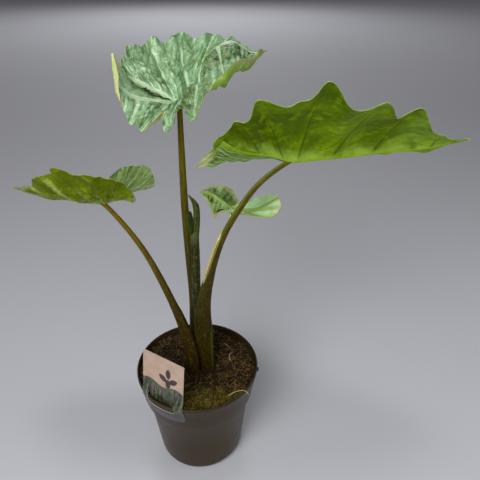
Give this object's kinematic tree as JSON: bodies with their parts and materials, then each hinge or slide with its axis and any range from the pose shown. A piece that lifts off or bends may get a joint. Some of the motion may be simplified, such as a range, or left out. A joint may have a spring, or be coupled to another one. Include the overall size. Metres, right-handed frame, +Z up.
{
  "type": "potted plant",
  "caption": "Upright elephant ear plant with ribbed, scalloped arrow shaped leaves on long stems, in a round nursery pot filled with peat and with a card label on its rim.",
  "frame": {"origin": "centre of the pot's underside, on the surface that the pot stands on", "axes": "+Z up along the pot's axis, +X towards the largest leaf's tip, +Y away from the side that the care label is on"},
  "size_m": [0.5804, 0.2481, 0.6509],
  "materials": {
    "pot_plastic": "satin",
    "peat": "matte",
    "rootstock": "matte",
    "petiole": "satin",
    "leaf_green": "satin",
    "leaf_silver_green": "satin",
    "new_leaf_green": "satin",
    "label_card": "satin"
  },
  "bodies": {
    "root": {"pot": "pot_plastic", "soil": "peat", "rootstock": "rootstock", "petiole_right": "petiole", "petiole_left": "petiole", "petiole_top": "petiole", "petiole_small": "petiole", "blade_right": "leaf_green", "blade_left": "leaf_green", "blade_top": "leaf_silver_green", "blade_small": "leaf_silver_green", "new_leaf_sheath": "new_leaf_green", "new_leaf": "new_leaf_green", "plant_label": "label_card"}
  },
  "joints": []
}
